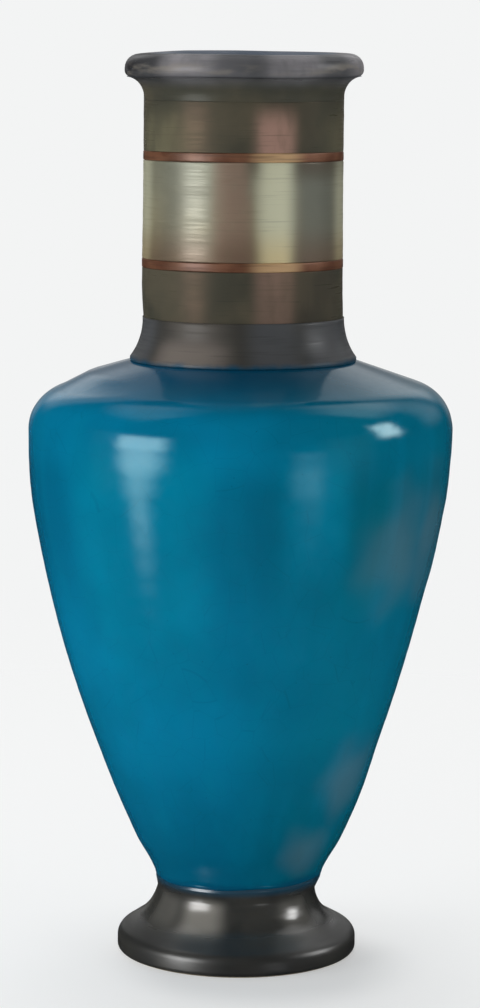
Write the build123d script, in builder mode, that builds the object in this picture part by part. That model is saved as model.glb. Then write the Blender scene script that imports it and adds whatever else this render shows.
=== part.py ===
"""Faience jar: turned sections of paste, set into each other and luted with slip.

Millimetres, +Z up, origin at the middle of the underside of the foot.
"""

import os
from math import cos, radians, sin, tan

from build123d import *

# Joints between the sections
lute = 0.8  # thickness of a ring of slip
fit = 0.2  # clearance round a boss, spigot or tongue
step_height = 2.5  # height of the tongues at the belly and the rim

# Foot
foot_radius = 26.8
foot_height = 16.9
foot_edge_round = 2.4
foot_base_round = 1.2
waist_inset = 1.2  # how far the waist lies inside the base of the body
waist_drop = 2.6  # from the top of the foot down to its waist
cove_radius = 8.0
cove_turn = 62  # degrees
foot_ring_width = 6.0
foot_wall = 5.0
recess_height = 8.0
boss_inset = 6.7  # width of the luted seat round the boss
boss_height = 3.0

# Body
wall = 4.0
base_radius = 18.7
base_thickness = 6.0
belly_radius = 46.8
body_height = 99.6
flank_radius = 96.0
flank_turn = 9.3  # degrees

# Shoulder
turn_radius = 10.5
shoulder_slope = 19.0  # degrees

# Neck
neck_radius = 21.8
neck_wall = 4.0
neck_length = 56.1
spigot_length = 3.4
collar_spread = 3.1  # how far the collar stands out from the neck
collar_height = 9.6
collar_edge = 0.8  # upright edge at the foot of the collar
collar_lip = 0.4  # thickness of the collar at its top

# Inlaid rings
band_height = 21.4
border_height = 2.0
inlay_depth = 1.2

# Rim
rim_spread = 4.2  # how far the lip stands out from the neck
rim_height = 9.2
rim_edge = 4.8
rim_edge_round = 3.0
rim_under_round = 1.4
mouth_round = 2.6

# Radii that follow from the neck and the base of the body
waist_radius = base_radius - waist_inset
boss_radius = base_radius - boss_inset
collar_radius = neck_radius + collar_spread
rim_radius = neck_radius + rim_spread

# Heights of the joints
base_z = foot_height + lute
belly_z = base_z + body_height
shoulder_z = belly_z + lute
turn_angle = radians(shoulder_slope)
turn_inset = turn_radius * (1 - sin(turn_angle))
seat_z = (
    shoulder_z
    + turn_radius * cos(turn_angle)
    + (belly_radius - turn_inset - collar_radius) * tan(turn_angle)
)
neck_z = seat_z + lute
neck_top = neck_z + neck_length
rim_z = neck_top + lute
rim_top = rim_z + rim_height

# Radii of the joints
bore_radius = neck_radius - neck_wall
spigot_radius = neck_radius - neck_wall / 2
opening_radius = spigot_radius + fit
tongue_radius = belly_radius - wall / 2

# The inlay is centred between the collar and the rim
inlay_height = band_height + 2 * border_height
inlay_z = (seat_z + collar_height + neck_top - inlay_height) / 2
band_z = inlay_z + border_height
upper_border_z = band_z + band_height

os.makedirs("parts", exist_ok=True)


def write(piece, label):
    """Name a finished piece and write its file."""
    piece.label = label
    export_step(piece, f"parts/{label}.step")


def ring(inner, outer, bottom, height):
    """Draw the section of a plain ring, in the sketch that is being made."""
    with Locations(((inner + outer) / 2, bottom + height / 2)):
        Rectangle(outer - inner, height)


def flank(inset, lift):
    """Draw the side of the body from the belly to the base, moved in by a wall."""
    upper = JernArc((belly_radius - inset, belly_z), (0, -1), flank_radius - inset, -flank_turn)
    return TangentArc(upper @ 1, (base_radius - inset, base_z + lift), tangent=upper % 1)


# Foot: a cove between the waist and a rounded edge, hollow below, with a socket on top
with BuildPart() as foot:
    with BuildSketch(Plane.XZ):
        with BuildLine():
            waist_z = foot_height - waist_drop
            edge_line = Line((foot_radius, 0), (foot_radius, foot_height), mode=Mode.PRIVATE)
            cove = JernArc((waist_radius, waist_z), (0, -1), cove_radius, cove_turn)
            slope = IntersectingLine(cove @ 1, cove % 1, edge_line)
            Polyline(
                slope @ 1,
                (foot_radius, 0),
                (foot_radius - foot_ring_width, 0),
                (waist_radius - foot_wall, recess_height),
                (0, recess_height),
                (0, foot_height - boss_height - fit),
                (boss_radius + fit, foot_height - boss_height - fit),
                (boss_radius + fit, foot_height),
                (base_radius, foot_height),
                cove @ 0,
            )
        make_face()
    revolve(axis=Axis.Z)
    outer_edges = foot.edges().filter_by(GeomType.CIRCLE).group_by(SortBy.RADIUS)[-1]
    fillet(outer_edges.sort_by(Axis.Z)[-1:], radius=foot_edge_round)
    outer_edges = foot.edges().filter_by(GeomType.CIRCLE).group_by(SortBy.RADIUS)[-1]
    fillet(outer_edges.sort_by(Axis.Z)[:1], radius=foot_base_round)
write(foot.part, "foot")

# Slip between foot and body
with BuildPart() as foot_luting:
    with BuildSketch(Plane.XZ):
        ring(boss_radius + fit, base_radius, foot_height, lute)
    revolve(axis=Axis.Z)
write(foot_luting.part, "foot_luting")

# Body: a tall cup whose side is two tangent arcs, with a boss below and a tongue above
with BuildPart() as body:
    with BuildSketch(Plane.XZ):
        with BuildLine():
            side = flank(0, 0)
            Polyline(side @ 1, (0, base_z), (0, belly_z), (belly_radius, belly_z))
        make_face()
    revolve(axis=Axis.Z)
    with BuildSketch(Plane.XZ):
        with BuildLine():
            hollow = flank(wall, base_thickness)
            Polyline(
                hollow @ 1,
                (0, base_z + base_thickness),
                (0, belly_z),
                (belly_radius - wall, belly_z),
            )
        make_face()
    revolve(axis=Axis.Z, mode=Mode.SUBTRACT)
    with BuildSketch(Plane.XZ):
        ring(0, boss_radius, base_z - lute - boss_height, lute + boss_height)
        ring(belly_radius - wall, tongue_radius, belly_z, step_height)
    revolve(axis=Axis.Z)
write(body.part, "body")

# Slip at the belly, outside the tongue
with BuildPart() as belly_luting:
    with BuildSketch(Plane.XZ):
        ring(tongue_radius + fit, belly_radius, belly_z, lute)
    revolve(axis=Axis.Z)
write(belly_luting.part, "belly_luting")

# Shoulder: a tight turn and a low cone, with a step over the tongue and a flat seat for the neck
with BuildPart() as shoulder:
    with BuildSketch(Plane.XZ):
        with BuildLine():
            seat_inner = (opening_radius, seat_z)
            ledge_z = seat_z - wall
            step_z = belly_z + step_height + fit
            ledge = Line((0, ledge_z), (belly_radius, ledge_z), mode=Mode.PRIVATE)
            collar_line = Line((collar_radius, 0), (collar_radius, rim_top), mode=Mode.PRIVATE)
            turn = JernArc((belly_radius, shoulder_z), (0, 1), turn_radius, 90 - shoulder_slope)
            cone = IntersectingLine(turn @ 1, turn % 1, collar_line)
            inner_turn = JernArc(
                (belly_radius - wall, step_z),
                (0, 1),
                turn_radius - wall,
                90 - shoulder_slope,
            )
            inner_cone = IntersectingLine(inner_turn @ 1, inner_turn % 1, ledge)
            Polyline(cone @ 1, seat_inner, (opening_radius, ledge_z), inner_cone @ 1)
            Polyline(
                inner_turn @ 0,
                (tongue_radius + fit, step_z),
                (tongue_radius + fit, shoulder_z),
                turn @ 0,
            )
        make_face()
    revolve(axis=Axis.Z)
write(shoulder.part, "shoulder")

# Slip under the neck
with BuildPart() as neck_luting:
    with BuildSketch(Plane.XZ):
        ring(opening_radius, neck_radius, seat_z, lute)
    revolve(axis=Axis.Z)
write(neck_luting.part, "neck_luting")

# Collar: a coil pressed into a flare round the root of the neck
with BuildPart() as neck_collar:
    with BuildSketch(Plane.XZ):
        with BuildLine():
            top = (neck_radius + fit + collar_lip, seat_z + collar_height)
            flare = TangentArc(top, (collar_radius, seat_z + collar_edge), tangent=(0, -1))
            Polyline(
                flare @ 1,
                (collar_radius, seat_z),
                (neck_radius + fit, seat_z),
                (neck_radius + fit, seat_z + collar_height),
                flare @ 0,
            )
        make_face()
    revolve(axis=Axis.Z)
write(neck_collar.part, "neck_collar")

# Neck: a tube with a spigot below, a channel for the inlay and a step for the rim
with BuildPart() as neck:
    with BuildSketch(Plane.XZ):
        ring(bore_radius, neck_radius, neck_z, neck_length)
        ring(bore_radius, spigot_radius, seat_z - spigot_length, lute + spigot_length)
    revolve(axis=Axis.Z)
    with BuildSketch(Plane.XZ):
        ring(neck_radius - inlay_depth, neck_radius, inlay_z, inlay_height)
        ring(bore_radius, spigot_radius, neck_top - step_height, step_height)
    revolve(axis=Axis.Z, mode=Mode.SUBTRACT)
write(neck.part, "neck")

# Inlay: a wide band between two narrow borders, filling the channel
inlays = {
    "lower_border": (inlay_z, border_height),
    "neck_band": (band_z, band_height),
    "upper_border": (upper_border_z, border_height),
}
for label, (bottom, height) in inlays.items():
    with BuildPart() as inlay:
        with BuildSketch(Plane.XZ):
            ring(neck_radius - inlay_depth, neck_radius, bottom, height)
        revolve(axis=Axis.Z)
    write(inlay.part, label)

# Slip under the rim, outside its tongue
with BuildPart() as rim_luting:
    with BuildSketch(Plane.XZ):
        ring(spigot_radius, neck_radius, neck_top, lute)
    revolve(axis=Axis.Z)
write(rim_luting.part, "rim_luting")

# Rim: a spreading lip with a rolled edge and a tongue that sits in the step of the neck
with BuildPart() as rim:
    with BuildSketch(Plane.XZ):
        with BuildLine():
            under = TangentArc(
                (neck_radius, rim_z),
                (rim_radius, rim_top - rim_edge),
                tangent=(0, 1),
            )
            Polyline(
                under @ 1,
                (rim_radius, rim_top),
                (bore_radius, rim_top),
                (bore_radius, rim_z),
                (neck_radius, rim_z),
            )
        make_face()
        ring(bore_radius, spigot_radius - fit, neck_top - step_height + fit, lute + step_height - fit)
    revolve(axis=Axis.Z)
    outer_edges = rim.edges().filter_by(GeomType.CIRCLE).group_by(SortBy.RADIUS)[-1]
    fillet(outer_edges.sort_by(Axis.Z)[-1:], radius=rim_edge_round)
    outer_edges = rim.edges().filter_by(GeomType.CIRCLE).group_by(SortBy.RADIUS)[-1]
    fillet(outer_edges.sort_by(Axis.Z)[:1], radius=rim_under_round)
    mouth = rim.faces().sort_by(Axis.Z)[-1].edges().sort_by(SortBy.RADIUS)[:1]
    fillet(mouth, radius=mouth_round)
write(rim.part, "rim")

print(f"height {rim_top:.2f}, seat of the neck {seat_z:.2f}, neck {neck_z:.2f} to {neck_top:.2f}")
print(f"inlay {inlay_z:.2f}, band {band_z:.2f} to {upper_border_z:.2f}")
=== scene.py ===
"""Looks of a glazed faience jar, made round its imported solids.

The scene is in metres, in the frame of the solids. Sizes of the jar are in millimetres, and
angles round the jar are counted from the side that faces the camera, to the right.
"""

from math import atan2, cos, hypot, pi, radians, sin, tan

import bpy
import numpy as np
from mathutils import Matrix, Vector


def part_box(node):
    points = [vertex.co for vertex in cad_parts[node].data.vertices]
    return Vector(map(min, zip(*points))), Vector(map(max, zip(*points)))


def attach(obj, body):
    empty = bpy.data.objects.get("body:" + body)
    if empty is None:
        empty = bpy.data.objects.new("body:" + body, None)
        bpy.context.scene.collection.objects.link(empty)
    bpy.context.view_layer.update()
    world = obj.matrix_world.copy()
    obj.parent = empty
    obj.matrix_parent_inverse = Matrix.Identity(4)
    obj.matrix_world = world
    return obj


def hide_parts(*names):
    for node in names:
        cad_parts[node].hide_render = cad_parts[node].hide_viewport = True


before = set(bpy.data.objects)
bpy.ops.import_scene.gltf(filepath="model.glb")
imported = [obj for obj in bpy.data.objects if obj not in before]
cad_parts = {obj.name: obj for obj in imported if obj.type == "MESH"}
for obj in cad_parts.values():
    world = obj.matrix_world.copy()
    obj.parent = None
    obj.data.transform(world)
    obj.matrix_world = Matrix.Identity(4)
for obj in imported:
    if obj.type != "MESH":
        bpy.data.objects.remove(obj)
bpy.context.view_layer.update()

MM = 0.001
SIDES = 288  # vertices round a turned piece
STEP = 1.1  # millimetres, about as long as the pieces of a section
CORNER_STEPS = 7  # points of a rounded corner
TINY = 1e-4  # millimetres that count as nothing
AXIS_REACH = 5  # millimetres from the axis within which the hand does less
UP = pi / 2  # headings in a section
DOWN = -pi / 2


def reach(node):
    """Radius, bottom and top of a solid, in millimetres."""
    low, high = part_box(node)
    return high.x / MM, low.z / MM, high.z / MM


# Sizes that the solids give
foot_radius, _, foot_top = reach("foot")
base_radius, _, base_z = reach("foot_luting")
_, boss_z, tongue_top = reach("body")
belly_radius, belly_z, shoulder_z = reach("belly_luting")
seat_z = reach("shoulder")[2]
collar_radius, _, collar_top = reach("neck_collar")
neck_radius, spigot_z, neck_top = reach("neck")
band_z, band_top = reach("neck_band")[1:]
inlay_z = reach("lower_border")[1]
inlay_top = reach("upper_border")[2]
rim_z = reach("rim_luting")[2]
rim_radius, rim_tongue_z, rim_top = reach("rim")

# Curves, walls and clearances, as in the solids
wall = 4.0
fit = 0.2
base_thickness = 6.0
boss_radius = 12.0
flank_radius = 96.0
flank_turn = radians(9.3)
turn_radius = 10.5
shoulder_slope = radians(19)
waist_radius = 17.5
waist_z = foot_top - 2.6
cove_radius = 8.0
cove_turn = radians(62)
foot_ring_width = 6.0
foot_wall = 5.0
foot_edge_round = 2.4
foot_base_round = 1.2
recess_height = 8.0
inlay_depth = 1.2
rim_edge = 4.8
rim_edge_round = 3.0
rim_under_round = 1.4
mouth_round = 2.6
collar_edge = 0.8
bore_radius = neck_radius - wall
spigot_radius = neck_radius - wall / 2
opening_radius = spigot_radius + fit

# Edges that the solids leave sharp, by the radius of their rounding
cut_round = 0.1
channel_round = 0.12
seat_round = 0.2
inlay_round = 0.25
collar_round = 0.3
socket_round = 0.4
soft_round = 0.5
recess_round = 2.0

# Roll of thick glaze at the foot of the body
roll_radius = 0.8
roll_inset = 0.5  # from the edge of the base to the middle of the roll
roll_start = 1.4  # from the edge of the base to the inner end of the roll
roll_top = 2.0  # height from which the side is plain
roll_first = radians(-95)
roll_last = radians(10)

# How far thin pieces stand off the neck or out of it
collar_gap = 0.05
collar_feather = 0.25
border_proud = 0.06
band_proud = 0.03


# Sections

def arc(centre, radius, first, last, steps):
    """Points of a round stretch; angles in radians from the outward direction."""
    angles = np.linspace(first, last, steps)
    return [(centre[0] + radius * cos(a), centre[1] + radius * sin(a)) for a in angles]


def tangent_arc(start, direction, end, steps):
    """Points of the arc that leaves start along a direction and reaches end."""
    normal = np.array([-sin(direction), cos(direction)])
    chord = np.subtract(end, start)
    radius = chord.dot(chord) / (2 * chord.dot(normal))
    centre = np.add(start, normal * radius)
    first = atan2(start[1] - centre[1], start[0] - centre[0])
    last = atan2(end[1] - centre[1], end[0] - centre[0])
    turn = (last - first + pi) % (2 * pi) - pi
    return arc(centre, abs(radius), first, first + turn, steps)


def rounded(*corners):
    """An outline through corners (radius, height, rounding), with the rounded ones as arcs."""
    points = [corners[0][:2]]
    for before, here, after in zip(corners, corners[1:], corners[2:]):
        corner = np.array(here[:2])
        back = np.subtract(before[:2], corner)
        ahead = np.subtract(after[:2], corner)
        back /= np.hypot(*back)
        ahead /= np.hypot(*ahead)
        half = np.arccos(np.clip(back.dot(ahead), -1, 1)) / 2
        cut = here[2] / tan(half)
        if cut:
            heading = atan2(-back[1], -back[0])
            points += tangent_arc(corner + back * cut, heading, corner + ahead * cut, CORNER_STEPS)
        else:
            points.append(here[:2])
    points.append(corners[-1][:2])
    return points


def divided(section, closed):
    """The same section with long stretches divided."""
    points = [section[0]]
    for end in section[1:] + (section[:1] if closed else []):
        start = points[-1]
        length = hypot(end[0] - start[0], end[1] - start[1])
        if length < TINY:
            continue
        for share in np.linspace(0, 1, max(1, round(length / STEP)) + 1)[1:]:
            points.append(tuple(np.add(start, np.subtract(end, start) * share)))
    return points[:-1] if closed else points


# Traces of the hand

def swell(value, low, high):
    """Rises smoothly from 0 at low to 1 at high."""
    share = np.clip((value - low) / (high - low), 0, 1)
    return share * share * (3 - 2 * share)


def belt(value, low, full, last, end):
    """Rises from 0 at low to 1 at full, and falls from 1 at last to 0 at end."""
    return swell(value, low, full) * (1 - swell(value, last, end))


def handmade(points):
    """Moves points of the true round shape as an uneven hand would, by about a millimetre at most."""
    x, y, z = points.T
    angle = np.arctan2(x, -y)
    radius = np.maximum(np.hypot(x, y), AXIS_REACH)
    right = x / radius
    # Places that are uneven, mostly by height
    foot_edge = belt(z, 4, 9, 10, 18)
    waist = belt(z, 14, 17, 20, 26)
    base = belt(z, 20, 26, 34, 50)
    right_flank = belt(z, 80, 90, 102, 112) * swell(right, 0.3, 0.95)
    left_shoulder = belt(z, 119, 124, 134, 136) * swell(-right, 0.6, 0.95)
    neck_root = belt(z, 138, 148, 150, 172)
    rim = swell(z, 178, 196)
    # Out of round, with the marks of the wheel
    out = 0.10 * np.cos(2 * angle + 0.9 + 0.01 * z)
    out += 0.06 * np.cos(3 * angle - 0.6 - 0.02 * z)
    out += 0.013 * np.sin(2 * pi * z / 5.3 + 0.7 * np.cos(angle + z / 40))
    out += 0.009 * np.sin(2 * pi * z / 3.1 + 0.9 * np.sin(angle - z / 25))
    # Fuller and slimmer places
    out += 0.45 * base - 0.30 * waist + 0.35 * right_flank + 0.20 * neck_root
    share = (swell(z, 3, 30) * out + 0.5 * foot_edge) / radius
    # Sections that don't stand quite over each other
    lean = 0.45 * belt(z, 13, 18, 30, 52) - 0.3 * foot_edge
    lean -= 0.45 * belt(z, 35, 75, 98, 118)
    lean += 0.40 * swell(z, 120, 134) - 0.35 * swell(z, 140, 150)
    # A tilted top, a wavy joint over the foot and a raised left edge of the foot
    tilt = 0.003 * swell(z, 90, 120)
    seam = 0.30 * np.sin(angle) + 0.12 * np.sin(3 * angle + 1) + 0.08 * np.sin(8 * angle)
    lift = tilt * x + seam * np.exp(-(((z - base_z) / 3) ** 2))
    lift += 0.4 * foot_edge * swell(-x, 5, 25)
    # A rim that isn't level, and a left shoulder that sags
    dip = 0.12 * swell(-x, -8, 4) - 0.45 * swell(-x, 12, 27)
    lift += rim * (0.2 + dip + 0.024 * y)
    sag = np.interp(radius, (25, 28, 34, 40, 47), (0, 0.2, 0.5, -0.6, -0.3))
    lift += sag * left_shoulder
    return np.stack([x * (1 + share) + lean, y * (1 + share), z + lift], axis=1) * MM


def lathe(name, section):
    """A turned mesh; its section runs up the outside and down the inside, from the axis or round."""
    closed = section[0][0] > 0
    points = []
    rings = []
    for radius, height in divided(section, closed):
        count = SIDES if radius > TINY else 1
        rings.append(range(len(points), len(points) + count))
        for turn in np.arange(count) * 2 * pi / SIDES:
            points.append((radius * cos(turn), radius * sin(turn), height))
    faces = []
    for low, high in zip(rings, rings[1:] + (rings[:1] if closed else [])):
        for here in range(SIDES):
            there = (here + 1) % SIDES
            if len(low) == 1:
                faces.append((low[0], high[there], high[here]))
            elif len(high) == 1:
                faces.append((low[here], low[there], high[0]))
            else:
                faces.append((low[here], low[there], high[there], high[here]))
    mesh = bpy.data.meshes.new(name)
    mesh.from_pydata(handmade(np.array(points)).tolist(), [], faces)
    mesh.shade_smooth()
    piece = bpy.data.objects.new(name, mesh)
    bpy.context.scene.collection.objects.link(piece)
    return piece


# Shader helpers

def rgb(*shades):
    """A colour written in screen shades, 0 to 255, as linear light."""
    return tuple(((shade / 255 + 0.055) / 1.055) ** 2.4 if shade else 0 for shade in shades) + (1,)


class Shader:
    """A node tree with short ways to add and join nodes; lengths in millimetres."""

    def __init__(self, tree):
        self.tree = tree
        tree.nodes.clear()

    def join(self, value, socket):
        """Sets a socket to a number or colour, or links it to another node's output."""
        if isinstance(value, bpy.types.NodeSocket):
            self.tree.links.new(value, socket)
        else:
            socket.default_value = value

    def add(self, kind, settings=None, **inputs):
        """Adds a node; underscores in the names of inputs stand for spaces."""
        node = self.tree.nodes.new(kind)
        for key, value in (settings or {}).items():
            setattr(node, key, value)
        for key, value in inputs.items():
            self.join(value, node.inputs[key.replace("_", " ")])
        return node

    def math(self, operation, *values):
        node = self.add("ShaderNodeMath", {"operation": operation})
        for value, socket in zip(values, node.inputs):
            self.join(value, socket)
        return node.outputs[0]

    def times(self, first, second):
        return self.math("MULTIPLY", first, second)

    def plus(self, first, second):
        return self.math("ADD", first, second)

    def minus(self, first, second):
        return self.math("SUBTRACT", first, second)

    def vector(self, operation, *values):
        node = self.add("ShaderNodeVectorMath", {"operation": operation})
        for value, socket in zip(values, node.inputs):
            self.join(value, socket)
        return node.outputs["Value" if operation in ("DOT_PRODUCT", "LENGTH") else "Vector"]

    def mix(self, share, first, second):
        node = self.add("ShaderNodeMix", {"data_type": "RGBA"})
        for value, place in zip((share, first, second), (0, 6, 7)):
            self.join(value, node.inputs[place])
        return node.outputs[2]

    def ramp(self, value, low, high, first=0.0, last=1.0):
        """first at low and beyond it, last at high and beyond it, smooth between; low may be larger."""
        node = self.add("ShaderNodeMapRange", {"interpolation_type": "SMOOTHSTEP"})
        for number, socket in zip((value, low, high, first, last), node.inputs):
            self.join(number, socket)
        return node.outputs[0]

    def belt(self, value, low, full, last, end):
        """Rises from 0 at low to 1 at full, and falls from 1 at last to 0 at end."""
        return self.times(self.ramp(value, low, full), self.ramp(value, end, last))

    def place(self):
        """Where a point of the jar is: its position, its height and its angle."""
        spot = self.add("ShaderNodeTexCoord").outputs["Object"]
        spot = self.vector("MULTIPLY", spot, (1 / MM, 1 / MM, 1 / MM))
        x, y, height = self.add("ShaderNodeSeparateXYZ", Vector=spot).outputs
        return spot, height, self.math("ARCTAN2", x, self.times(y, -1.0))

    def from_axis(self, spot):
        """How far a point is from the axis of the jar."""
        return self.vector("LENGTH", self.vector("MULTIPLY", spot, (1, 1, 0)))

    def facing(self, toward, low, high):
        """0 to 1 as the surface turns toward a direction, or toward a vector of millimetres."""
        normal = self.add("ShaderNodeNewGeometry").outputs["True Normal"]
        return self.ramp(self.vector("DOT_PRODUCT", normal, toward), low, high)

    def inward(self, spot):
        """1 where the surface faces the axis of the jar, 0 elsewhere."""
        return self.facing(self.vector("MULTIPLY", spot, (-1, -1, 0)), 0, 3)

    def noise(self, spot, size, stretch=(1, 1, 1), detail=3.0):
        """Noise with blots about size wide, times the stretch."""
        scaled = self.vector("MULTIPLY", spot, tuple(1 / (size * part) for part in stretch))
        return self.add("ShaderNodeTexNoise", Vector=scaled, Scale=1.0, Detail=detail).outputs["Fac"]

    def cells(self, spot, size, feature):
        """Distances in a pattern of cells about size wide."""
        node = self.add("ShaderNodeTexVoronoi", {"feature": feature}, Vector=spot, Scale=1 / size)
        return node.outputs["Distance"]

    def flush(self, angle, middles, width, strength=1.0):
        """The strength at each of the middle angles, fading to 0 at a width from it, in degrees."""
        total = 0.0
        for middle in middles:
            near = self.math("COSINE", self.minus(angle, radians(middle)))
            share = self.math("POWER", self.ramp(near, cos(radians(width)), 1), 3)
            total = self.plus(total, share)
        return self.times(total, strength)

    def blot(self, spot, uneven, azimuth, radius, height, size):
        """1 in the middle of a soft patch of the surface, fading to 0 at its uneven edge."""
        turn = radians(azimuth)
        middle = (radius * sin(turn), -radius * cos(turn), height)
        upright = (1.1, 1.1, 0.9)
        gap = self.vector("MULTIPLY", self.vector("SUBTRACT", spot, middle), upright)
        away = self.plus(self.vector("LENGTH", gap), self.times(uneven, size * 1.8))
        return self.ramp(away, size * 0.8, size * 2, 1, 0)

    def finish(self, color, roughness, height, depth, **fixed):
        """Joins colour, roughness and relief to one surface; depth is the depth of the relief."""
        bump = self.add("ShaderNodeBump", Strength=1.0, Distance=depth * MM, Height=height)
        surface = self.add("ShaderNodeBsdfPrincipled", Normal=bump.outputs[0], **fixed)
        self.join(color, surface.inputs["Base Color"])
        self.join(roughness, surface.inputs["Roughness"])
        self.output(surface)

    def blend(self, share, first, second):
        """Mixes two surfaces or lights."""
        node = self.add("ShaderNodeMixShader", Fac=share)
        self.join(first.outputs[0], node.inputs[1])
        self.join(second.outputs[0], node.inputs[2])
        return node

    def output(self, surface, kind="ShaderNodeOutputMaterial"):
        self.join(surface.outputs[0], self.add(kind).inputs["Surface"])


def material(name):
    made = bpy.data.materials.new(name)
    made.use_nodes = True
    return made, Shader(made.node_tree)


# Materials

# Stretch of the grain of the glazes in x, y and z
along_wheel = (14, 14, 0.5)
along_band = (16, 16, 0.5)
along_foot = (12, 12, 0.8)
along_lip = (4, 4, 1)
veiled = (1, 1, 2.5)
drawn_down = (1, 1, 4)
runny = (1, 1, 9)

# Stretches of a noise, which runs from 0 to 1, over which it takes effect
clouds = (0.35, 0.65)
grains = (0.3, 0.7)
brush_lines = (0.55, 0.75)


def bare_paste(s, spot, color, share):
    """Shows the sandy paste where a surface was left without glaze."""
    grain = s.ramp(s.noise(spot, 0.7), *clouds)
    return s.mix(share, color, s.mix(grain, rgb(188, 174, 148), rgb(160, 146, 122)))


# Dull greyish patches of the blue glaze: angle, radius and height of the middle, and size
patches = [
    (50, 45, 96, 16),
    (68, 45, 97, 15),
    (53, 28.5, 43.5, 11),
    (38, 22.5, 27, 8),
]


def blue_ground(s, height, angle):
    """The blue, painted darker on the right; lighter belts, partly thinner glaze and partly painted
    light; and pale streaks of painted glow below the highlights.
    """
    # Darker and greener towards the right: painted shade on the side away from the key light, with some
    # real change of hue
    side = s.ramp(s.math("SINE", angle), -0.25, 0.72)
    thick = s.mix(side, rgb(0, 102, 137), rgb(0, 100, 119))
    thin = s.mix(side, rgb(0, 121, 160), rgb(0, 112, 139))
    # Lighter belts on the flank and, mostly on the left, on the turn of the shoulder: partly thinner
    # glaze, partly painted light
    flank_thin_and_lit = s.belt(height, 26, 62, 72, 100)
    turn_thin_and_lit = s.times(s.belt(height, 108, 118, 124, 130), s.ramp(side, 0.9, 0.1, 0.8, 1))
    color = s.mix(s.plus(flank_thin_and_lit, turn_thin_and_lit), thick, thin)
    # Pale streaks below the highlights, lighter at the left crest: a painted glow of the lights
    broad = s.times(s.flush(angle, (-28, 100, 240), 35), s.ramp(height, 56, 88, 0, 0.9))
    narrow = s.times(s.flush(angle, (21, 165), 16), s.ramp(height, 84, 98, 0, 0.75))
    painted_glow = s.times(s.plus(broad, narrow), s.ramp(height, 123, 111))
    crest = s.times(s.ramp(height, 100, 112), s.ramp(side, 0.3, 0))
    glow_blue = s.mix(crest, rgb(0, 138, 172), rgb(0, 145, 179))
    return s.mix(painted_glow, color, glow_blue)


def blue_glaze():
    """Thick alkaline blue glaze: cloudy and runny, dark where it meets the foot, and below the collar
    darkened by painted shade and a bleed of the dark glaze.
    """
    made, s = material("blue_glaze")
    spot, height, angle = s.place()
    cloud = s.noise(spot, 26)
    run = s.noise(spot, 7, runny)
    fine = s.noise(spot, 1.6)
    craze = s.cells(spot, 6.0, "DISTANCE_TO_EDGE")
    pits = s.cells(spot, 3.4, "F1")
    color = blue_ground(s, height, angle)
    # Clouds, runs, darker towards the bottom, a dark edge at the foot that reaches higher on the right,
    # and below the collar painted shade with a bleed of the dark glaze
    color = s.mix(s.ramp(cloud, 0.32, 0.68, 0.5, 0), color, rgb(0, 96, 126))
    color = s.mix(s.ramp(run, 0.45, 0.75, 0, 0.3), color, rgb(0, 118, 150))
    color = s.mix(s.ramp(height, 38, 17, 0, 0.2), color, rgb(0, 84, 110))
    edge = s.plus(height, s.times(run, 3.0))
    foot_edge = s.minus(edge, s.times(s.math("SINE", angle), 0.9))
    color = s.mix(s.ramp(foot_edge, base_z + 3.6, base_z + 1.2, 0, 0.8), color, rgb(2, 68, 98))
    # Painted shade below the collar, where the neck shades the shoulder, with a bleed of the dark glaze
    color = s.mix(s.ramp(edge, seat_z - 9, seat_z + 1.6, 0, 0.7), color, rgb(0, 56, 90))
    # Fine cracks, pits, dull greyish patches and bare paste inside
    color = s.mix(s.ramp(craze, 0.012, 0.0, 0, 0.2), color, rgb(0, 70, 92))
    color = s.mix(s.ramp(pits, 0.05, 0.02, 0, 0.5), color, rgb(4, 50, 66))
    blots = s.noise(spot, 16, detail=1.0)
    dull = 0.0
    for patch in patches:
        dull = s.math("MAXIMUM", dull, s.blot(spot, blots, *patch))
    color = s.mix(s.times(dull, 0.14), color, rgb(150, 138, 128))
    color = bare_paste(s, spot, color, s.inward(spot))
    roughness = s.plus(s.ramp(fine, *grains, 0.10, 0.16), s.times(dull, 0.08))
    relief = s.plus(s.times(fine, 0.2), s.times(run, 0.6))
    relief = s.minus(relief, s.ramp(pits, 0.07, 0.02, 0, 0.15))
    glint = rgb(205, 246, 250)
    s.finish(color, roughness, relief, depth=0.05, Specular_IOR_Level=0.55, Specular_Tint=glint)
    return made


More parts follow.
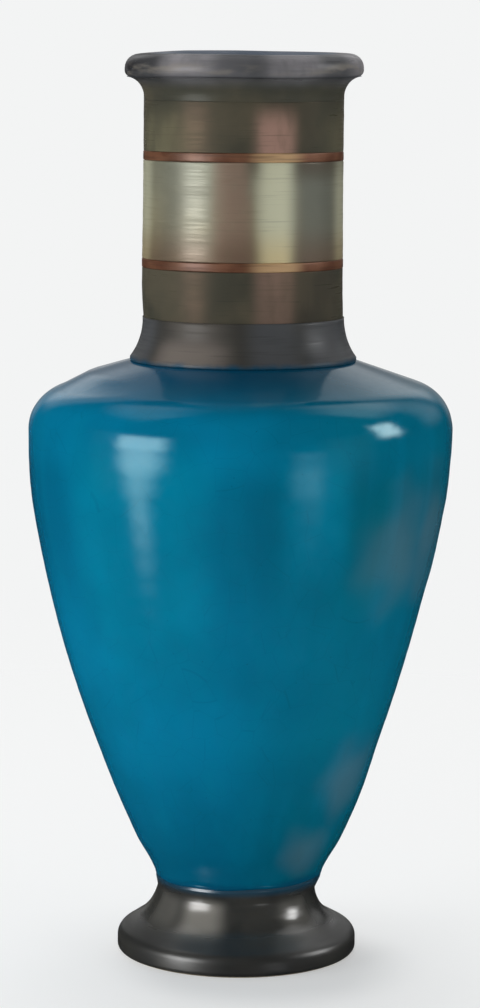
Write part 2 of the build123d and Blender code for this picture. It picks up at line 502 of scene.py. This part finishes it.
def dark_lustre(name, flushes, glint):
    """Dark glaze with a lustre, olive below and grey at the rubbed lip, with flushes of colour, painted
    highlights, a painted reflection and painted shade.
    """
    made, s = material(name)
    spot, height, angle = s.place()
    cloud = s.noise(spot, 13)
    veil = s.noise(spot, 4, veiled)
    brush = s.noise(spot, 1.0, along_wheel)
    grit = s.noise(spot, 0.5)
    # Olive ground, grey at the lip
    lip = s.ramp(height, rim_top - 8, rim_top - 4.5)
    ground = s.mix(lip, rgb(67, 67, 58), rgb(78, 79, 81))
    sheen = s.mix(lip, rgb(84, 80, 67), rgb(93, 93, 96))
    color = s.mix(s.ramp(cloud, *clouds), ground, sheen)
    # Flushes of colour, painted highlights and painted shade, none at the joint of neck and rim
    joint = s.math("ABSOLUTE", s.minus(height, rim_z))
    uneven = s.times(s.ramp(veil, 0.3, 0.6, 0.6, 1), s.ramp(joint, 0, 7, 0, 1))
    for tint, middles, width, fade in flushes:
        share = s.times(s.flush(angle, middles, width), s.ramp(height, *fade))
        color = s.mix(s.times(share, uneven), color, tint)
    # Marks of the brush, a rubbed lip and the inside
    color = s.mix(s.ramp(brush, *brush_lines, 0, 0.3), color, ground)
    away = s.from_axis(spot)
    worn = s.ramp(s.noise(spot, 2.2, along_lip), 0.45, 0.65, 0, 0.5)
    rubbed = s.times(s.ramp(away, rim_radius - 0.5, rim_radius + 0.1), worn)
    color = s.mix(rubbed, color, rgb(138, 132, 122))
    inside = s.inward(spot)
    color = s.mix(s.times(inside, 0.8), color, rgb(94, 104, 118))
    deep = s.times(inside, s.ramp(height, rim_top - 16, rim_top - 22))
    color = bare_paste(s, spot, color, deep)
    roughness = s.ramp(brush, *grains, 0.27, 0.4)
    relief = s.plus(s.times(brush, 0.6), s.times(grit, 0.4))
    s.finish(color, roughness, relief, depth=0.025, Specular_IOR_Level=0.22, Specular_Tint=glint)
    return made


def collar_glaze():
    """Grey black glaze that runs together with the blue one at the edge of the collar, with painted
    reflections of the lights in its flare.
    """
    made, s = material("collar_glaze")
    spot, height, angle = s.place()
    cloud = s.noise(spot, 9)
    brush = s.noise(spot, 1.0, along_wheel)
    run = s.noise(spot, 3, drawn_down)
    color = s.mix(s.ramp(cloud, *clouds), rgb(47, 48, 46), rgb(60, 59, 55))
    # Paler grey low on the collar, on the left a painted reflection of the left light in the flare
    root = s.ramp(height, seat_z + 7, seat_z + 3, 0.25, 0.9)
    flush = s.times(s.flush(angle, (-29, 140, 230), 38), root)
    color = s.mix(flush, color, rgb(123, 115, 108))
    # Cooler grey flushes, on the right front a painted reflection of the right light
    cool_grey_and_reflection = s.flush(angle, (18, 50, 76, 185, 290), 25, 0.7)
    color = s.mix(cool_grey_and_reflection, color, rgb(86, 88, 91))
    color = s.mix(s.ramp(brush, *brush_lines, 0, 0.3), color, rgb(44, 44, 43))
    edge = s.plus(height, s.times(run, 1.6))
    color = s.mix(s.ramp(edge, seat_z + 2.4, seat_z + 0.4), color, rgb(2, 70, 96))
    roughness = s.ramp(brush, *grains, 0.3, 0.45)
    s.finish(color, roughness, brush, depth=0.025, Specular_IOR_Level=0.2)
    return made


def pale_lustre():
    """Silvery gold lustre, rubbed along the wheel, greener above and with copper flushes, a painted
    reflection of the right light and painted shade in grey flushes.
    """
    made, s = material("pale_lustre")
    spot, height, angle = s.place()
    cloud = s.noise(spot, 9)
    veil = s.noise(spot, 4, veiled)
    brush = s.noise(spot, 0.9, along_band)
    grit = s.noise(spot, 0.5)
    color = s.mix(s.ramp(height, band_z, band_top), rgb(152, 142, 112), rgb(146, 146, 126))
    color = s.mix(s.ramp(cloud, *clouds, 0, 0.5), color, rgb(128, 126, 108))
    # Silver flushes, at 20 degrees a painted reflection of the right light; grey flushes of painted
    # shade; and copper flushes
    silver_and_reflection = s.flush(angle, (20, 152, 205), 21, 0.95)
    silver_and_reflection = s.plus(silver_and_reflection, s.flush(angle, (75, 284), 21, 0.5))
    bright = s.mix(s.ramp(height, band_z, band_z + 9), rgb(230, 214, 166), rgb(222, 222, 192))
    color = s.mix(silver_and_reflection, color, bright)
    grey = rgb(110, 113, 104)
    color = s.mix(s.flush(angle, (48, 130, 232), 32, 0.85), color, grey)
    # Greyer at the left front too, painted shade against the reflection of the left light
    color = s.mix(s.flush(angle, (325,), 32, 0.5), color, grey)
    copper = s.flush(angle, (-5, 112, 178, 250), 19)
    copper = s.times(copper, s.ramp(veil, 0.3, 0.6, 0.3, 0.8))
    color = s.mix(copper, color, rgb(148, 123, 107))
    # Stained below and shaded at the top right, but not on the silver
    plain = s.minus(1.0, silver_and_reflection)
    stain = s.times(s.ramp(height, band_z + 9, band_z, 0, 0.7), plain)
    color = s.mix(stain, color, rgb(112, 90, 73))
    right = s.ramp(s.math("SINE", angle), -0.05, 0.15)
    shade = s.times(s.ramp(height, band_top - 6, band_top + 0.5, 0, 0.8), plain)
    color = s.mix(s.times(shade, right), color, rgb(84, 73, 59))
    color = s.mix(s.ramp(brush, *brush_lines, 0, 0.25), color, rgb(110, 104, 86))
    roughness = s.ramp(brush, *grains, 0.28, 0.42)
    relief = s.plus(s.times(brush, 0.7), s.times(grit, 0.3))
    s.finish(color, roughness, relief, depth=0.025, Metallic=0.28)
    return made


def copper_lustre():
    """Copper brown lustre of the narrow borders, with a painted reflection of the right light and
    painted shade at the left front.
    """
    made, s = material("copper_lustre")
    spot, _, angle = s.place()
    cloud = s.noise(spot, 6)
    brush = s.noise(spot, 0.9, along_band)
    color = s.mix(s.ramp(cloud, *clouds), rgb(104, 66, 48), rgb(128, 88, 66))
    # Paler at 20 degrees, a painted reflection of the right light, and darker at the left front,
    # painted shade
    color = s.mix(s.flush(angle, (20, 152, 205), 25), color, rgb(204, 168, 126))
    color = s.mix(s.flush(angle, (328,), 32, 0.5), color, rgb(78, 56, 43))
    color = s.mix(s.ramp(brush, 0.5, 0.7, 0, 0.4), color, rgb(72, 52, 42))
    roughness = s.ramp(brush, *grains, 0.32, 0.44)
    s.finish(color, roughness, brush, depth=0.02, Metallic=0.3)
    return made


def foot_glaze():
    """Glossy black glaze with grey flushes, partly painted highlights, a rubbed edge and a blue top,
    and bare paste underneath.
    """
    made, s = material("foot_glaze")
    spot, height, angle = s.place()
    cloud = s.noise(spot, 12)
    brush = s.noise(spot, 1.2, along_foot)
    pits = s.cells(spot, 2.8, "F1")
    color = s.mix(s.ramp(cloud, *clouds), rgb(49, 50, 49), rgb(63, 63, 60))
    color = s.mix(s.ramp(brush, *brush_lines, 0, 0.4), color, rgb(66, 62, 54))
    color = s.mix(s.ramp(pits, 0.06, 0.03, 0, 0.5), color, rgb(20, 20, 20))
    away = s.from_axis(spot)
    worn = s.ramp(cloud, 0.45, 0.6, 0, 0.2)
    rubbed = s.times(s.ramp(away, foot_radius - 0.6, foot_radius), worn)
    color = s.mix(rubbed, color, rgb(84, 79, 70))
    # Grey flushes in the cove, painted highlights where the left and right lights show in it, a darker
    # slope below and blue at the top
    faint = s.flush(angle, (-55, 45, 160, 265), 22, 0.33)
    flush = s.plus(s.flush(angle, (-24, 115, 205), 25), faint)
    flush = s.times(flush, s.ramp(height, foot_top - 1, foot_top - 4))
    color = s.mix(s.times(flush, s.ramp(height, 6, 9.5, 0.2, 0.95)), color, rgb(138, 135, 128))
    color = s.mix(s.ramp(height, 10, 4, 0, 0.6), color, rgb(34, 35, 35))
    color = s.mix(s.ramp(height, foot_top - 1.5, foot_top + 0.3, 0, 0.6), color, rgb(2, 74, 102))
    under = s.times(s.facing((0, 0, -1), 0.6, 0.75), s.ramp(height, foot_top - 4, foot_top - 5))
    color = bare_paste(s, spot, color, under)
    roughness = s.plus(s.ramp(brush, *grains, 0.16, 0.26), s.ramp(height, 9, 6, 0, 0.16))
    relief = s.minus(s.times(brush, 0.5), s.ramp(pits, 0.07, 0.03, 0, 0.5))
    s.finish(color, roughness, relief, depth=0.04, IOR=1.6, Specular_IOR_Level=0.7)
    return made


# Pieces

def foot_section():
    """The foot: hollow below, coved to a waist, with the slip and the socket on top."""
    cove_end = (
        waist_radius + cove_radius * (1 - cos(cove_turn)),
        waist_z - cove_radius * sin(cove_turn),
    )
    edge_z = cove_end[1] - (foot_radius - cove_end[0]) / tan(cove_turn)
    socket_radius = boss_radius + fit
    socket_z = boss_z - fit
    under = rounded(
        (0, recess_height, 0),
        (waist_radius - foot_wall, recess_height, recess_round),
        (foot_radius - foot_ring_width, 0, soft_round),
        (foot_radius, 0, foot_base_round),
        (foot_radius, edge_z, foot_edge_round),
        (*cove_end, 0),
    )
    cove = arc((waist_radius + cove_radius, waist_z), cove_radius, pi + cove_turn, pi, steps=16)
    top = rounded(
        (waist_radius, waist_z, 0),
        (base_radius, foot_top, soft_round),
        (base_radius - cut_round, base_z, seat_round),
        (socket_radius, base_z, seat_round),
        (socket_radius, socket_z, socket_round),
        (0, socket_z, 0),
    )
    return under + cove[1:] + top[1:]


def flank(inset, lift):
    """The side of the body from its base up to the belly, moved in by a wall."""
    centre = (belly_radius - flank_radius, belly_z)
    upper = arc(centre, flank_radius - inset, -flank_turn, 0, steps=12)
    base = (base_radius - inset, base_z + lift)
    lower = tangent_arc(upper[0], DOWN - flank_turn, base, steps=60)
    return lower[:0:-1] + upper


def shoulder_curve(inset, start_z, end):
    """The turn from the belly and the cone up to an end radius."""
    centre = (belly_radius - turn_radius, start_z)
    turn = arc(centre, turn_radius - inset, 0, pi / 2 - shoulder_slope, steps=22)
    rise = (turn[-1][0] - end) * tan(shoulder_slope)
    return turn + [(end, turn[-1][1] + rise)]


def body_section():
    """Body, slip and shoulder under one coat of glaze that ends in a roll, and the hollow inside."""
    ledge_z = seat_z - wall
    under = [(0, boss_z), (boss_radius, boss_z), (boss_radius, base_z)]
    under.append((base_radius - roll_start, base_z))
    roll_middle = (base_radius - roll_inset, base_z + roll_inset)
    roll = arc(roll_middle, roll_radius, roll_first, roll_last, steps=12)
    outer = [point for point in flank(0, 0) if point[1] > base_z + roll_top]
    outer += shoulder_curve(0, shoulder_z, collar_radius)
    mouth = [(opening_radius, seat_z), (opening_radius, ledge_z)]
    ceiling = shoulder_curve(wall, tongue_top, opening_radius)
    hollow = flank(wall, base_thickness) + [point for point in ceiling if point[1] < ledge_z]
    return under + roll + outer + mouth + hollow[::-1] + [(0, base_z + base_thickness)]


def collar_section():
    """The coil at the root of the neck, drawn out to a thin edge above."""
    inner = neck_radius + collar_gap
    top = (neck_radius + collar_feather, collar_top)
    flare = tangent_arc(top, DOWN, (collar_radius, seat_z + collar_edge), steps=18)
    bottom = rounded((inner, seat_z, 0), (collar_radius, seat_z, collar_round), (*flare[-1], 0))
    return bottom + flare[-2::-1] + [(inner, collar_top)]


def neck_section():
    """The tube with its spigot, the channel for the inlay and the step for the rim."""
    channel = neck_radius - inlay_depth
    step_z = rim_tongue_z - fit
    middle = (inlay_z + inlay_top) / 2
    return rounded(
        (bore_radius, middle, 0),
        (bore_radius, spigot_z, soft_round),
        (spigot_radius, spigot_z, soft_round),
        (spigot_radius, seat_z, 0),
        (neck_radius, seat_z, cut_round),
        (neck_radius, inlay_z, channel_round),
        (channel, inlay_z, cut_round),
        (channel, inlay_top, cut_round),
        (neck_radius, inlay_top, channel_round),
        (neck_radius, neck_top, cut_round),
        (spigot_radius, neck_top, cut_round),
        (spigot_radius, step_z, cut_round),
        (bore_radius, step_z, cut_round),
        (bore_radius, middle + STEP, 0),
    )


def inlay_section(bottom, top, proud):
    """A ring of paste in the channel, standing a little proud, with softly rounded edges."""
    outer = neck_radius + proud
    inner = neck_radius - inlay_depth
    middle = (bottom + top) / 2
    return rounded(
        (inner, middle, 0),
        (inner, bottom, cut_round),
        (outer, bottom, inlay_round),
        (outer, top, inlay_round),
        (inner, top, cut_round),
        (inner, middle + cut_round, 0),
    )


def rim_section():
    """The rolled lip with its tongue in the neck."""
    tongue = spigot_radius - fit
    under = tangent_arc((neck_radius, rim_z), UP, (rim_radius, rim_top - rim_edge), steps=16)
    lip = rounded(
        (*under[-2], 0),
        (rim_radius, rim_top - rim_edge, rim_under_round),
        (rim_radius, rim_top, rim_edge_round),
        (bore_radius, rim_top, mouth_round),
        (bore_radius, rim_tongue_z, seat_round),
        (tongue, rim_tongue_z, seat_round),
        (tongue, neck_top, 0),
        (neck_radius, neck_top, cut_round),
        (*under[0], 0),
    )
    return under[:-2] + lip[:-1]


def dress(name, section, finish, slot, *nodes):
    """Turns a piece, gives it its finish and puts it in the place of its solids."""
    piece = lathe(name, section)
    piece.data.materials.append(finish)
    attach(piece, "root")
    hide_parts(*nodes)


white = (1, 1, 1, 1)
copper_glint = (1, 0.55, 0.38, 1)

# Flushes of colour, painted highlights and painted shade on the dark lustre: tint, middle angles,
# width, and how they fade over the height
neck_tints_and_painted_light = [
    # Paler olive flushes, at the upper left a painted highlight of the left light
    (rgb(116, 112, 88), (-52, 75, 185, 300), 40, (inlay_z, inlay_top, 0, 0.3)),
    # Darker flushes on the lower neck, at the right painted shade
    (rgb(52, 52, 48), (50, 130, 240), 35, (inlay_top, inlay_z, 0, 0.6)),
    # Copper flushes, at 19 degrees a painted reflection of the right light
    (rgb(158, 127, 114), (19, 104, 150, 215, 262), 20, (collar_top, inlay_top, 0.36, 1)),
]
rim_tints_and_painted_light = [
    (rgb(46, 46, 48), (-62, 175, 270), 45, (rim_top - 8, rim_top - 4, 0.2, 0.6)),
    # Paler grey flushes, at -29, 26 and 76 degrees painted highlights of the lights in the lip
    (rgb(132, 130, 133), (-29, 26, 76, 150, 200, 245), 25, (rim_top - 8, rim_top - 4, 0.15, 1)),
]

neck_glaze = dark_lustre("neck_lustre", neck_tints_and_painted_light, copper_glint)
rim_glaze = dark_lustre("rim_lustre", rim_tints_and_painted_light, white)
border_glaze = copper_lustre()
lower_border = inlay_section(inlay_z, band_z, border_proud)
upper_border = inlay_section(band_top, inlay_top, border_proud)
inlaid_band = inlay_section(band_z, band_top, band_proud)

dress("foot_turned", foot_section(), foot_glaze(), "dark_glaze", "foot", "foot_luting")
dress("body_glazed", body_section(), blue_glaze(), "blue_glaze", "body", "belly_luting", "shoulder")
dress("collar_turned", collar_section(), collar_glaze(), "dark_glaze", "neck_collar")
dress("neck_turned", neck_section(), neck_glaze, "dark_glaze", "neck", "neck_luting")
dress("border_below", lower_border, border_glaze, "copper_border", "lower_border")
dress("band_inlaid", inlaid_band, pale_lustre(), "pale_lustre", "neck_band")
dress("border_above", upper_border, border_glaze, "copper_border", "upper_border")
dress("rim_turned", rim_section(), rim_glaze, "dark_glaze", "rim", "rim_luting")


# Studio

def floor():
    """A pale floor that fades into the background, with painted shadow just before the foot where its
    glow is weaker.
    """
    half = 2.0
    before_foot = (6, -15, 0)
    darker = (20, 38)
    fading = (150, 520)
    mesh = bpy.data.meshes.new("floor")
    corners = [(-half, -half, 0), (half, -half, 0), (half, half, 0), (-half, half, 0)]
    mesh.from_pydata(corners, [], [(0, 1, 2, 3)])
    made = bpy.data.objects.new("floor", mesh)
    bpy.context.scene.collection.objects.link(made)
    paint, s = material("floor")
    spot, _, _ = s.place()
    matt = s.add("ShaderNodeBsdfDiffuse", Color=rgb(243, 244, 244))
    glow = s.add("ShaderNodeEmission", Color=rgb(247, 248, 248), Strength=1.0)
    away = s.vector("LENGTH", spot)
    ahead = s.vector("LENGTH", s.vector("SUBTRACT", spot, before_foot))
    seen = s.add("ShaderNodeLightPath").outputs["Is Camera Ray"]
    # Weaker glow just before the foot, which deepens the shadow there: painted shadow
    seen = s.times(seen, s.ramp(ahead, *darker, 0.4, 0.62))
    clear = s.add("ShaderNodeBsdfTransparent")
    lit = s.blend(seen, matt, glow)
    s.output(s.blend(s.ramp(away, *fading), lit, clear))
    mesh.materials.append(paint)
    made.visible_glossy = False


# Panels that show in the glaze, in degrees: middle and half width round the jar, lower and upper
# edge, then the strength and, where it differs, the softness of the edges
panels = [
    (-54, 14, -8, 18, 7.2),
    (-55, 9, -13, -8, 4.8),
    (-56, 5, -27, -13, 3.0),
    (37, 8, -17, -9, 1.35),
    (41, 6, -25, -14, 0.4),
    (89, 8, 10, 30, 9.0, 4.0),
    (-160, 12, 14, 46, 0.32),
    (-164, 7, 12, 26, 0.3, 4.0),
    (164, 9, 14, 44, 0.55),
    (136, 12, 10, 52, 0.4, 8.0),
    (122, 26, 42, 66, 1.0, 8.0),
    (-106, 34, 50, 72, 0.7, 8.0),
]


def softbox(s, azimuth, elevation, middle, half, low, high, strength, soft=5.0):
    """The light of one soft-edged panel toward a direction."""
    side = s.math("ABSOLUTE", s.minus(azimuth, middle))
    across = s.ramp(side, half - soft, half + soft, strength, 0)
    bottom = s.ramp(elevation, low - soft, low + soft)
    top = s.ramp(elevation, high - soft, high + soft, 1, 0)
    return s.times(across, s.times(bottom, top))


def studio_world():
    """Even light all round, a pale background, and the studio that shows in the glaze."""
    world = bpy.data.worlds.new("studio")
    bpy.context.scene.world = world
    world.use_nodes = True
    s = Shader(world.node_tree)
    direction = s.add("ShaderNodeTexCoord").outputs["Generated"]
    x, y, z = s.add("ShaderNodeSeparateXYZ", Vector=direction).outputs
    azimuth = s.math("DEGREES", s.math("ARCTAN2", x, s.times(y, -1.0)))
    elevation = s.math("DEGREES", s.math("ARCSINE", z))
    from_front = s.math("ABSOLUTE", azimuth)
    behind = s.times(s.ramp(from_front, 150, 166), s.belt(z, -0.2, 0.1, 0.4, 0.6))
    edge_on = s.times(s.ramp(from_front, 171, 176, 0, 0.3), s.belt(z, -0.14, -0.06, 0.04, 0.12))
    shine = s.plus(s.ramp(behind, 0, 1, 0.006, 0.25), edge_on)
    for panel in panels:
        shine = s.plus(shine, softbox(s, azimuth, elevation, *panel))
    light = s.add("ShaderNodeBackground", Color=white, Strength=0.36)
    glossy = s.add("ShaderNodeBackground", Color=white, Strength=shine)
    backdrop = s.add("ShaderNodeBackground", Color=rgb(243, 244, 244), Strength=1.0)
    path = s.add("ShaderNodeLightPath").outputs
    light = s.blend(path["Is Glossy Ray"], light, glossy)
    s.output(s.blend(path["Is Camera Ray"], light, backdrop), "ShaderNodeOutputWorld")


def lamp(name, azimuth, elevation, distance, size, power):
    """A square soft lamp that looks at the middle of the jar and doesn't show in the glaze."""
    data = bpy.data.lights.new(name, "AREA")
    data.size = size
    data.energy = power
    made = bpy.data.objects.new(name, data)
    turn = radians(azimuth)
    rise = radians(elevation)
    away = Vector((sin(turn) * cos(rise), -cos(turn) * cos(rise), sin(rise)))
    made.location = Vector((0, 0, rim_top * MM / 2)) + away * distance
    made.rotation_mode = "QUATERNION"
    made.rotation_quaternion = away.to_track_quat("Z", "Y")
    made.visible_glossy = False
    made.visible_camera = False
    bpy.context.scene.collection.objects.link(made)


def photo_camera():
    """The photograph's camera: level with the rim, looking a little down and slightly rolled."""
    distance = 0.712
    height = 0.198
    downward = radians(7.76)
    sideways = radians(0.5)
    data = bpy.data.cameras.new("camera")
    data.sensor_width = 36.0
    data.lens = 115.5
    made = bpy.data.objects.new("camera", data)
    pitch = Matrix.Rotation(pi / 2 - downward, 4, "X")
    roll = Matrix.Rotation(sideways, 4, "Z")
    made.matrix_world = Matrix.Translation((0, -distance, height)) @ pitch @ roll
    bpy.context.scene.collection.objects.link(made)
    bpy.context.scene.camera = made


floor()
studio_world()
lamp("left", azimuth=-66, elevation=6, distance=0.95, size=0.6, power=5.4)
lamp("right", azimuth=60, elevation=2, distance=0.95, size=0.5, power=2.8)
lamp("above", azimuth=-169, elevation=71, distance=1.6, size=0.9, power=15.0)
photo_camera()
bpy.context.scene.view_settings.view_transform = "Standard"
